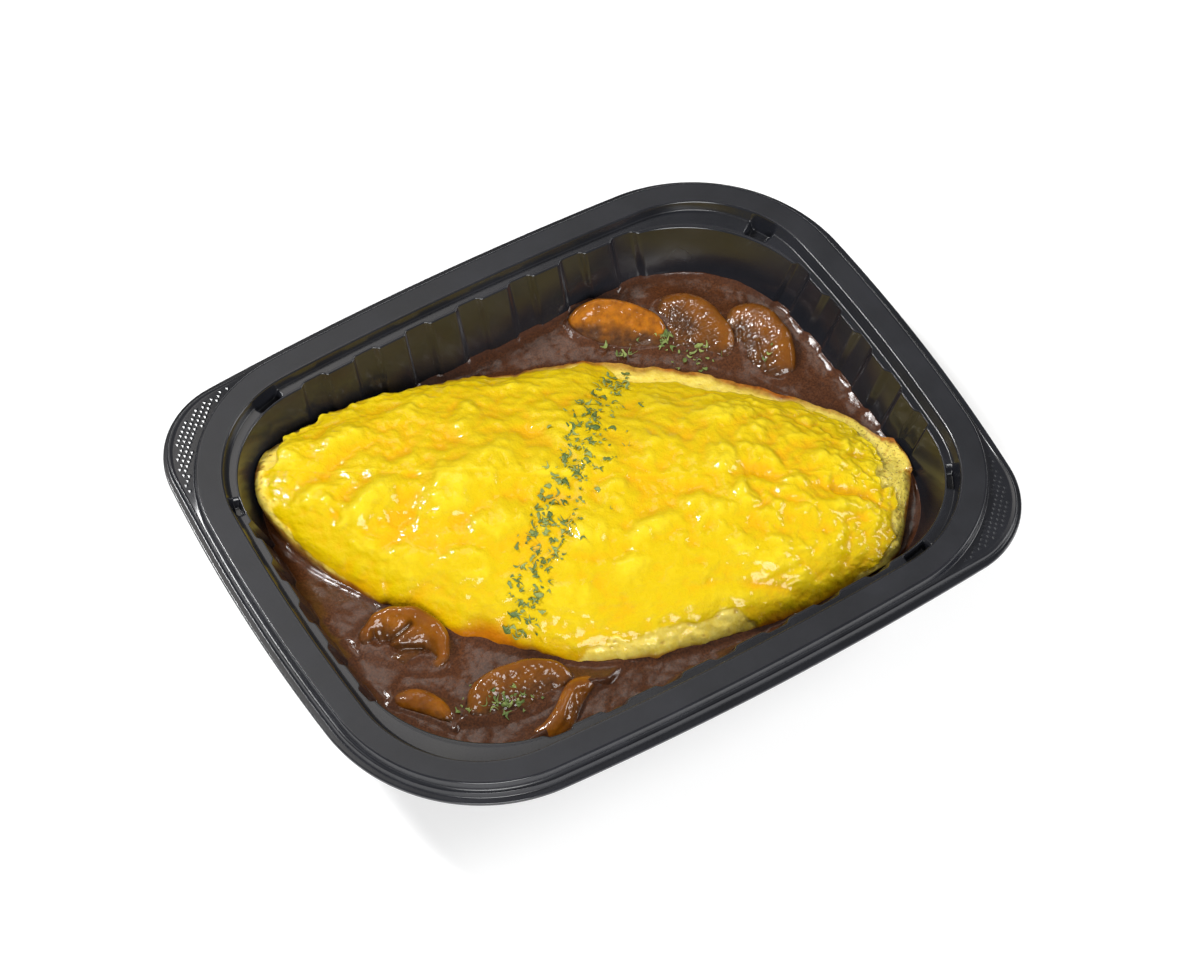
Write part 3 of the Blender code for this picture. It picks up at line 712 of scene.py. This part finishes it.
# mushrooms: slices of cap lying tilted in the sauce. The centre is that of the cut face. bend
# and arch curve a slice in plan, dished hollows its face or bulges it where negative, cover is
# how much sauce lies on it, bank how high sauce stands behind it, and floats how far it rises.
# A crease across the face has both its ends, its depth and its half width
plainSlice = dict(thickness=4.4, stem=0.0, bend=0.0, arch=0.0, taper=0.0, cover=0.0, bank=0.0,
                  pale=0.0, creases=())
mushrooms = {
    "mushroom_far_1": dict(
        centre=(39.6, 49.4, 22.6), heading=-46, tilt=28, width=31.0, depth=15.5,
        thickness=3.6, curl=0.9, dished=0.5, cover=0.12, floats=0.1, seed=1, pale=1.0),
    "mushroom_far_2": dict(
        centre=(58.2, 38.8, 22.3), heading=-74, tilt=22, width=30.0, depth=17.0,
        stem=6.0, curl=1.2, dished=-0.8, cover=0.80, bank=0.6, floats=0.9, seed=2,
        creases=((-9, 1, -7, -2, 0.5, 0.5), (-5, 1.5, -3.4, -2, 0.6, 0.5),
                 (-1.5, 1, -0.5, -3, 0.6, 0.5), (2, 0, 2.4, -3.5, 0.5, 0.5))),
    "mushroom_far_3": dict(
        centre=(71.6, 24.6, 22.4), heading=-84, tilt=24, width=30.0, depth=19.0,
        curl=1.4, taper=0.1, dished=-0.5, cover=0.60, floats=0.6, seed=3,
        creases=((-6, 0, -2, -2.5, 0.5, 0.6), (1, 1.5, 6, -1, 0.5, 0.6))),
    "mushroom_near_1": dict(
        centre=(-72.8, -16.1, 23.3), heading=-50, tilt=27, width=27.5, depth=20.5,
        stem=8.0, curl=1.6, dished=0.9, cover=0.30, floats=0.4, seed=4,
        creases=((0, 7, -7, -3, 1.5, 1.0), (-7, -3.2, 5, 1.5, 1.9, 1.1),
                 (5, 1.5, 9.5, 0.3, 1.2, 0.9), (-9.5, 2, -8, -2.5, 0.7, 0.8))),
    "mushroom_near_2": dict(
        centre=(-76.4, -36.0, 21.4), heading=-54, tilt=26, width=21.5, depth=7.6,
        curl=0.8, arch=2.6, taper=0.3, dished=-1.0, floats=0.8, seed=5),
    "mushroom_near_3": dict(
        centre=(-51.0, -47.2, 23.1), heading=-7, tilt=30, width=33.0, depth=16.5,
        curl=1.5, taper=0.1, dished=0.35, cover=0.45, floats=0.3, seed=6),
    "mushroom_near_4": dict(
        centre=(-41.2, -58.2, 21.7), heading=13, tilt=44, width=29.0, depth=8.0,
        curl=1.8, bend=2.4, taper=0.1, dished=-1.0, bank=1.4, floats=0.8, seed=7),
}
slices = {name: SimpleNamespace(**(plainSlice | own)) for name, own in mushrooms.items()}
sauceLevel = 20.9
print("shaping the mushrooms")


def creaseDepth(creases, px, py):
    # each crease cuts by its depth times a bell of the distance to its straight line
    total = 0.0 * px
    for x0, y0, x1, y1, depth, half in creases:
        length = (x1 - x0) ** 2 + (y1 - y0) ** 2
        share = np.clip(((px - x0) * (x1 - x0) + (py - y0) * (y1 - y0)) / length, 0, 1)
        away = np.hypot(px - x0 - share * (x1 - x0), py - y0 - share * (y1 - y0))
        total = np.maximum(total, depth * np.exp(-((away / half) ** 2)))
    return total


def planSway(cut, along):
    # how far a slice's s-bend and arch carry it across its heading
    return cut.bend * np.sin(2 * math.pi * along / cut.width) - cut.arch * (
        along / (cut.width / 2)) ** 2


def mushroomShape(cut):
    # rings of the slice's outline, from the middle of its underside round the edge to the
    # middle of its face; the face has a raised cap rim, gill hollows and a stem
    width, depth, stem, cover, seed = cut.width, cut.depth, cut.stem, cut.cover, cut.seed
    hollow, bulge = max(0.0, cut.dished), max(0.0, -cut.dished)
    u = np.linspace(0, 2 * math.pi, 168, endpoint=False)[None]
    soft = 0.10 + 0.26 * bulge
    under = [(share, -1.0) for share in np.linspace(0.05, 0.96 - soft, 6)]
    turns = np.linspace(-math.pi / 2, math.pi / 2, 13)
    edge = [(1 - soft + soft * math.cos(a), -0.5 + 0.5 * math.sin(a)) for a in turns]
    face = [(share, 0.0) for share in np.linspace(0.985 - soft, 0.03, 34)]
    share, height = (np.array(v)[:, None] for v in zip(*(under + edge + face)))
    onFace = np.concatenate([np.zeros(len(under) + 6), ramp(0, 6, np.arange(7)),
                             np.ones(len(face))])[:, None]
    x, y = np.cos(u), np.sin(u)
    stemShare = np.exp(-2 * (x * width / stem) ** 2) if stem else 0.0 * x
    y = np.where(y < 0, y * (0.62 + 0.32 * stemShare), y) * (1 - cut.taper * x)
    lumpy = 1 + 0.045 * softNoise(4 + 3 * x, 4 + 3 * y, 1.0, 200 + seed)
    px, py = x * width / 2 * share * lumpy, y * depth * 0.6 * share * lumpy
    rim = np.exp(-(((share - 0.86) / 0.10) ** 2)) * ramp(-0.45, 0.25, np.sin(u))
    dish = ramp(0.80, 0.55, share)
    relief = (0.28 * rim - 0.9 * dish) * hollow + 0.9 * bulge * (1 - share**2)
    sides = np.exp(-(((np.abs(px) - 0.25 * width) / (0.12 * width)) ** 2)
                   - ((py + 0.02 * depth) / (0.22 * depth)) ** 2)
    gills = np.clip(sides, 0, 1) * (1.0 if stem else 0.35) * (1 - bulge)
    relief = relief - 1.5 * gills * (1 if stem else 0.4)
    stalk = np.exp(-((px / (0.5 * stem + 0.1)) ** 2)) * ramp(0.25, -0.2, py / depth) if stem else 0
    relief = relief + 0.7 * stalk
    rays = np.sin(np.arctan2(py + 0.6 * depth, px) * 46)
    relief = relief + 0.10 * rays * gills
    crease = creaseDepth(cut.creases, px, py)
    relief = relief - crease + 0.30 * layeredNoise(px, py, 5, 3, 210 + seed) * dish
    relief = relief + 0.30 * cover * (1 - 2 * cellNoise(px, py, 1.5, 220 + seed)[0])
    flat = height * cut.thickness * (1 + 0.10 * softNoise(px, py, 6, 230 + seed))
    pz = flat + relief * onFace + 0.12 * layeredNoise(px, py + height * 3, 4, 2, 240 + seed)
    pz = pz - cut.curl * (px / (width / 2)) ** 2
    heading = math.radians(cut.heading)
    turned = np.array(Matrix.Rotation(heading, 3, "Z") @ Matrix.Rotation(
        math.radians(cut.tilt), 3, "X"))
    points = np.stack([px, py, pz], -1) @ turned.T + cut.centre + (0, 0, cut.floats)
    points = points + planSway(cut, px)[..., None] * (-math.sin(heading), math.cos(heading), 0)
    wet = ramp(1.9, -0.2, points[..., 2] - sauceLevel - 1.5 * cover
               + 0.8 * layeredNoise(px, py, 5, 3, 250 + seed))
    wet = np.maximum(wet, dish * onFace * ramp(0.15, 0.35, cover) * ramp(0.34, 0.05, py / depth)
                     * (0.75 + 0.3 * layeredNoise(px, py, 6, 3, 260 + seed)))
    # the first mark holds the gills' darker colour and painted shade along the creases
    return points, {"gill_and_crease_shade": np.maximum(gills, np.clip(crease, 0, 1)) * onFace, "film": wet,
                    "rim": rim * onFace * hollow, "cover": np.full(px.shape, cover),
                    "pale": np.full(px.shape, cut.pale)}


def mushroomSurface():
    # amber, darker in gills and at the rim, with painted shade in the creases, under a film of
    # sauce and a wet, beaded coat
    made = Surface("stewedMushroom", Specular_IOR_Level=0.1, Coat_Weight=1.0,
                   Coat_Roughness=0.07, Coat_IOR=1.4, Roughness=0.45, Subsurface_Weight=0.15,
                   Subsurface_Scale=0.001, Subsurface_Radius=(1.0, 0.4, 0.1))
    gill_and_crease_shade, film, rim, cover = (made.mark(k) for k in ("gill_and_crease_shade", "film", "rim", "cover"))
    broad, fine = made.noise(160, 4), made.noise(900, 3, 0.6)
    amber = made.over(linear(140, 82, 8), (104, 56, 5), broad, 0.3, 0.7)
    amber = made.over(amber, (118, 64, 6), rim, 0.2, 1.0, 0.6)
    # darker for the gills' own colour, and painted shade along the creases
    amber = made.over(amber, (66, 38, 12), gill_and_crease_shade, 0.1, 0.9, 0.8)
    amber = made.over(amber, (98, 58, 14), cover, 0.2, 0.5, 0.5)
    mottled = made.remap(made.noise(330, 3, 0.6), 0.35, 0.65, 0.05, 0.75)
    mottled = made.sum(made.mark("pale"), mottled, "MULTIPLY")
    amber = made.mix(mottled, amber, linear(176, 106, 10))
    brown = made.over(linear(84, 50, 22), (52, 28, 10), fine, 0.3, 0.7)
    made.set("Base Color", made.mix(film, amber, brown))
    made.set("Normal", made.bump(fine, 0.0004, 0.35, made.bump(broad, 0.0008, 0.3)))
    beads = made.sum(made.noise(400, 2, 0.5), made.remap(cover, 0, 1, 0.7, 1.6), "MULTIPLY")
    made.set("Coat Normal", made.bump(beads, 0.0009, 0.6))
    return made.material


topPoints = [eggPoints[:, :egg["across"]].reshape(-1, 3)]
mushroomLook = mushroomSurface()
for name, cut in slices.items():
    slicePoints, sliceMarks = mushroomShape(cut)
    piece = closedSurface(name.replace("mushroom_", "mushroom_slice_"), slicePoints,
                          mushroomLook, sliceMarks)
    standFor(piece, "mushroom", name)
    topPoints.append(slicePoints[12:].reshape(-1, 3))
print("mushrooms made")


# sauce: a pool that creeps up the wall, the omelette and the mushrooms
sauce = {"columnStep": 0.85, "outerRings": 88, "innerRings": 8, "outerShare": 0.47,
         "wallCreep": 1.6, "eggCreep": 0.9, "bed": 3.4}


def eggAway(x, y):
    # rough distance in plan outside the omelette's edge, negative inside it
    turn = math.radians(egg["turn"])
    s, n = x * math.cos(turn) + y * math.sin(turn), y * math.cos(turn) - x * math.sin(turn)
    width, middle, _, _ = eggPlan(s)
    past = np.maximum(-egg["leftLength"] - s, s - egg["rightLength"])
    stations = np.linspace(-98, 94, 400)
    slope = np.hypot(1.0, np.gradient(eggPlan(stations)[0], stations))
    steep = np.interp(s, stations, slope)
    return np.maximum((np.abs(n - middle) - width) / steep, past)


def sauceHeight(x, y, wallAway):
    # the level and its unevenness, raised where sauce clings to the wall, the omelette and
    # each slice, and draped over the slices that it covers
    z = sauceLevel + 0.30 * layeredNoise(x, y, 15, 3, 71)
    # it was poured over the far right and runs out thinner towards the far left
    z = z - 3.0 * ramp(56, 0, x) * ramp(0, 25, y)
    z = z + sauce["wallCreep"] * np.exp(-wallAway / (1.8 + 0.5 * softNoise(x, y, 4, 73)))
    away = eggAway(x, y)
    z = z + sauce["eggCreep"] * np.exp(-np.maximum(away, 0) / 0.8)
    for cut in slices.values():
        angle, tilt = math.radians(cut.heading), math.radians(cut.tilt)
        width, depth = cut.width, cut.depth
        dx, dy = x - cut.centre[0], y - cut.centre[1]
        along = dx * math.cos(angle) + dy * math.sin(angle)
        sway = planSway(cut, along) * (np.abs(along) < width / 2)
        across = (dy * math.cos(angle) - dx * math.sin(angle) - sway) / math.cos(tilt)
        lower = np.where(across < 0, 0.62, 1.0) * (
            1 - cut.taper * np.clip(along / width, -0.5, 0.5))
        ring = np.hypot(along / (width / 2), across / (depth * 0.6 * lower))
        gap = (ring - 1) * depth * 0.5
        # the face as a plane, which a covered slice lifts the sauce over
        face = cut.centre[2] + cut.floats + across * math.sin(tilt) - cut.curl * (
            along / (width / 2)) ** 2
        z = z + 1.0 * np.exp(-np.abs(gap) / 1.5) * ramp(-1.0, 0.6, face - z)
        z = z + cut.bank * np.exp(-np.maximum(gap, 0) / 2.6) * ramp(-0.1, 0.35, across / depth)
        lift = np.clip(face + 0.55 - z, 0, 6) * ramp(1.12, 0.80, ring)
        drape = cut.cover * ramp(0.62, 0.42, 0.5 + 0.5 * across / (depth * 0.6)
                                 + 0.16 * layeredNoise(x, y, 7, 3, 80 + cut.seed))
        z = z + lift * np.clip(drape, 0, 1)
    z = z + 0.09 * layeredNoise(x, y, 2.2, 2, 75)
    # below the omelette it sinks to the bed, but stays inside the slanting wall
    bed = np.minimum(z, np.maximum(sauce["bed"], sauceLevel + 0.5 - 1.6 * wallAway))
    return z - (z - bed) * ramp(-1.5, -7.0, away)


def buildSauce(surface):
    # rings of the tray's inner outline at shrinking shares of the wall's, at the sauce's height,
    # and below them rings down the wall and over the floor
    columns, signs = trayColumns(sauce["columnStep"])
    grow, recess = wallAt(sauceLevel + 0.6)
    wall = trayRing(columns, signs, grow + 0.05, sauceLevel, recess)
    # the shore: where the sauce's own height meets the slanting wall
    shore = sauceHeight(wall[:, 0], wall[:, 1], np.zeros(len(wall)))
    grow, recess = wallAt(shore)
    wall = trayRing(columns, signs, grow + 0.05, shore, recess)
    shares = np.concatenate([1 - (1 - sauce["outerShare"])
                             * np.linspace(0, 1, sauce["outerRings"]) ** 1.15,
                             np.linspace(sauce["outerShare"], 0.03, sauce["innerRings"] + 1)[1:]])
    plan = wall[None, :, :2] * shares[::-1, None, None]
    wallAway = np.linalg.norm(wall[None, :, :2] - plan, axis=-1)
    height = sauceHeight(plan[..., 0], plan[..., 1], wallAway)
    top = np.concatenate([plan, height[..., None]], -1)
    middleGrow, middleRecess = wallAt(12.0)
    lower = [trayRing(columns, signs, middleGrow - 0.1, 12.0, middleRecess),
             trayRing(columns, signs, tray["wallFoot"] - 0.1, 4.7, tray["recessFoot"]),
             trayRing(columns, signs, tray["floorEdge"] - 0.2, 1.1)]
    lower.append(lower[-1] * (0.4, 0.4, 1))
    rings = np.concatenate([top, np.stack(lower)])
    # painted shade: the sauce is darkened within 3 mm of the wall
    rim = np.concatenate([ramp(3.0, 0.0, wallAway), np.zeros((len(lower), rings.shape[1]))])
    return closedSurface("brown_sauce", rings, surface, {"rim": rim}), top


def sauceSurface():
    # brown with fine specks and clouds, with painted shade along the wall, under a thin clear coat
    made = Surface("brownSauce", Specular_IOR_Level=0.1, Coat_Weight=1.0, Coat_Roughness=0.045,
                   Coat_IOR=1.38, Roughness=0.5)
    speckle, cloud, grain = made.noise(1500, 3, 0.75), made.noise(110, 4), made.noise(3000, 2, 0.6)
    brown = made.over(linear(88, 50, 25), (54, 28, 11), speckle, 0.38, 0.62)
    brown = made.over(brown, (62, 31, 12), cloud, 0.35, 0.65, 0.45)
    # painted shade along the wall, from the rim mark
    made.set("Base Color", made.over(brown, (58, 29, 14), made.mark("rim"), 0, 1, 0.5))
    made.set("Normal", made.bump(speckle, 0.0003, 0.4))
    wave = made.bump(made.noise(260, 3), 0.0002, 0.4)
    made.set("Coat Normal", made.bump(grain, 0.00007, 0.6, wave))
    return made.material


pool, poolTop = buildSauce(sauceSurface())
standFor(pool, "sauce", "sauce")
topPoints.append(poolTop.reshape(-1, 3))
print("sauce made")


# chopped parsley: small curled flakes scattered over the top
parsley = {"egg": 330, "far": 46, "near": 36, "seed": 17, "thickness": 0.10, "clumps": 60}
# middle line of the band over the omelette, s and n, and its half width
bandLine = np.array([(11, 41, 5), (3, 25, 8), (-1, 12, 8.5), (-7, -2, 8.5), (-13, -16, 7.5),
                     (-17, -27, 7), (-22, -38, 6.5), (-24, -47, 5)], float)
farPatches = ((46.0, 39.0, 5.5), (51.0, 31.5, 5.5), (36.0, 41.5, 4.0), (50.5, 40.0, 2.4),
              (57.0, 27.0, 4.0), (71.0, 17.5, 2.0))
nearPatches = ((-64.8, -43.0, 5.5), (-57.3, -45.0, 4.5), (-52.8, -47.5, 4.5))
allTops = np.concatenate(topPoints)


def topHeight(x, y, reach=0.75):
    # the highest surface point within reach in plan of each place
    found = np.empty(len(x))
    for k in range(len(x)):
        near = np.abs(allTops[:, 0] - x[k]) < reach
        close = allTops[near]
        found[k] = close[np.abs(close[:, 1] - y[k]) < reach, 2].max(initial=sauceLevel)
    return found


def buildParsley(surface):
    # each flake is a closed strip, five points long and three wide on both faces, with random
    # length, taper, curl and twist, laid along the surface's slope
    random = np.random.default_rng(parsley["seed"])
    t = random.random(parsley["egg"]) * (len(bandLine) - 1)
    s, n, half = (np.interp(t, np.arange(len(bandLine)), bandLine[:, k]) for k in range(3))
    clumps = random.normal(0, 0.55, (2, parsley["clumps"]))
    pick = random.integers(0, parsley["clumps"], parsley["egg"])
    s = s + half * (0.55 * clumps[0, pick] + 0.42 * random.normal(size=len(s)))
    n = n + half * (0.35 * clumps[1, pick] + 0.30 * random.normal(size=len(s)))
    turn = math.radians(egg["turn"])
    x, y = s * math.cos(turn) - n * math.sin(turn), s * math.sin(turn) + n * math.cos(turn)
    for patches, count in ((farPatches, parsley["far"]), (nearPatches, parsley["near"])):
        chosen = np.array(patches)[random.integers(0, len(patches), count)]
        x = np.concatenate([x, chosen[:, 0] + 0.6 * chosen[:, 2] * random.normal(size=count)])
        y = np.concatenate([y, chosen[:, 1] + 0.5 * chosen[:, 2] * random.normal(size=count)])
    count = len(x)
    z = topHeight(x, y)
    slopeX = np.clip((topHeight(x + 1, y) - topHeight(x - 1, y)) / 2, -1, 1)
    slopeY = np.clip((topHeight(x, y + 1) - topHeight(x, y - 1)) / 2, -1, 1)
    up = np.stack([-slopeX, -slopeY, np.ones(count)], -1)
    up += 0.22 * random.normal(size=up.shape)
    up /= np.linalg.norm(up, axis=1, keepdims=True)
    heading = random.random(count) * 2 * math.pi
    along = np.stack([np.cos(heading), np.sin(heading), np.zeros(count)], -1)
    along -= up * (along * up).sum(1, keepdims=True)
    along /= np.linalg.norm(along, axis=1, keepdims=True)
    across = np.cross(up, along)
    length = 0.8 + 2.5 * random.random(count) ** 1.7
    width = (0.20 + 0.32 * random.random(count)) * np.sqrt(length / 2)
    curl, sway = random.normal(0, 0.45, count), random.normal(0, 0.40, count)
    length, width, curl, sway = (v[:, None, None] for v in (length, width, curl, sway))
    u = np.array([-1, -0.5, 0, 0.5, 1])[None, :, None]
    v = np.array([-1, 0, 1])[None, None, :]
    taper = (1 - 0.6 * np.abs(u) ** 2.2) * (1 + 0.35 * random.normal(size=(count, 5, 1)))
    a, b = length / 2 * u * np.ones_like(v), width * taper * v + sway * length * u**2
    lift = curl * (u**2 - 0.3) * length * 0.5 + 0.18 * np.abs(v) * width + 0.14
    centre = np.stack([x, y, z], -1)
    centre, along, across, up = (v[:, None, None] for v in (centre, along, across, up))
    layers = []
    for side in (0.5, -0.5):
        h = lift + side * parsley["thickness"]
        layers.append(centre + a[..., None] * along + b[..., None] * across + h[..., None] * up)
    points = np.stack(layers, 1).reshape(-1, 3)
    perSide = 15  # points on each face of a flake
    grid = np.arange(perSide).reshape(5, 3)
    top = np.stack([grid[:-1, :-1], grid[1:, :-1], grid[1:, 1:], grid[:-1, 1:]], -1).reshape(-1, 4)
    loop = np.concatenate([grid[:, 0], grid[-1, 1:], grid[:-1, 2][::-1], grid[0, 1:2]])
    after = np.roll(loop, -1)
    wall = np.stack([loop, loop + perSide, after + perSide, after], -1)
    faces = np.concatenate([top, top[:, ::-1] + perSide, wall])
    faces = (faces[None] + 2 * perSide * np.arange(count)[:, None, None]).reshape(-1, 4)
    shade = np.repeat(random.random(count), 2 * perSide)
    piece = pieceFromFaces("chopped_parsley", points, faces, surface, {"shade": shade})
    return standFor(piece, "egg")


def parsleySurface():
    # dried leaf from dark green to straw, one shade for each flake
    made = Surface("driedParsley", Roughness=0.55, IOR=1.45)
    shade = made.mark("shade")
    green = made.mix(shade, linear(66, 84, 30), linear(150, 158, 88))
    vein = made.noise(2600, 2)
    made.set("Base Color", made.over(green, (92, 118, 50), vein, 0.35, 0.65, 0.6))
    made.set("Normal", made.bump(vein, 0.0002, 0.4))
    return made.material


buildParsley(parsleySurface())
print("parsley scattered")


# camera, light and floor
studio = {
    "azimuth": -33.90, "elevation": 55.34, "roll": 2.99, "distance": 1.18776,
    "target": (-0.00038, -0.00468, 0.040), "lens": 124.095, "roomLight": 0.20,
    "floorHalf": 3.0, "floorHeight": -0.0003, "floorGlow": 0.22,
}


def placeCamera():
    # looks at the target from the azimuth and elevation, then rolls about the line of sight
    azimuth, elevation, roll = (math.radians(studio[k]) for k in ("azimuth", "elevation", "roll"))
    back = Vector((math.sin(azimuth) * math.cos(elevation), -math.cos(azimuth)
                   * math.cos(elevation), math.sin(elevation)))
    right = Vector((math.cos(azimuth), math.sin(azimuth), 0.0))
    up = back.cross(right)
    rolledRight = right * math.cos(roll) + up * math.sin(roll)
    rolledUp = up * math.cos(roll) - right * math.sin(roll)
    data = bpy.data.cameras.new("camera")
    data.lens, data.sensor_width = studio["lens"], 36.0
    data.clip_start, data.clip_end = 0.05, 20.0
    camera = bpy.data.objects.new("camera", data)
    turned = Matrix((rolledRight, rolledUp, back)).transposed().to_4x4()
    turned.translation = Vector(studio["target"]) + back * studio["distance"]
    camera.matrix_world = turned
    bpy.context.scene.collection.objects.link(camera)
    bpy.context.scene.camera = camera


def softbox(name, place, size, power, colour=(1, 1, 1)):
    # a square area light at a place, facing the middle of the tray
    data = bpy.data.lights.new(name, "AREA")
    data.shape, data.size, data.energy, data.color = "SQUARE", size, power, colour
    lamp = bpy.data.objects.new(name, data)
    lamp.location = place
    lamp.rotation_euler = (Vector((0, 0, 0.03)) - Vector(place)).to_track_quat("-Z", "Y").to_euler()
    bpy.context.scene.collection.objects.link(lamp)


def buildStudio():
    # four soft lights, a pale room and a floor
    softbox("keyLight", (-0.55, 0.80, 1.10), 0.24, 19)
    softbox("nearFill", (-0.6, -1.4, 0.95), 0.9, 33)
    softbox("sideFill", (1.4, -0.5, 1.0), 0.6, 13)
    softbox("backGlow", (0.17, 0.64, 1.10), 0.42, 1.3, (1.0, 0.96, 0.9))
    world = bpy.data.worlds.new("paleRoom")
    world.use_nodes = True
    room = world.node_tree.nodes["Background"]
    room.inputs["Color"].default_value = (1, 1, 1, 1)
    room.inputs["Strength"].default_value = studio["roomLight"]
    bpy.context.scene.world = world
    bpy.context.scene.view_settings.view_transform = "Standard"
    half, low = studio["floorHalf"], studio["floorHeight"]
    mesh = bpy.data.meshes.new("floor")
    mesh.from_pydata([(-half, -half, low), (half, -half, low), (half, half, low),
                      (-half, half, low)], [], [(0, 1, 2, 3)])
    made = Surface("palePaper", Roughness=0.9)
    made.set("Base Color", made.mix(made.noise(30, 4), linear(236, 236, 236),
                                    linear(240, 240, 240)))
    # a lit table top, so that the shadow on it stays pale
    made.shader.inputs["Emission Color"].default_value = (1, 1, 1, 1)
    made.shader.inputs["Emission Strength"].default_value = studio["floorGlow"]
    mesh.materials.append(made.material)
    floor = bpy.data.objects.new("floor", mesh)
    bpy.context.scene.collection.objects.link(floor)


placeCamera()
buildStudio()
print("camera, light and floor made")
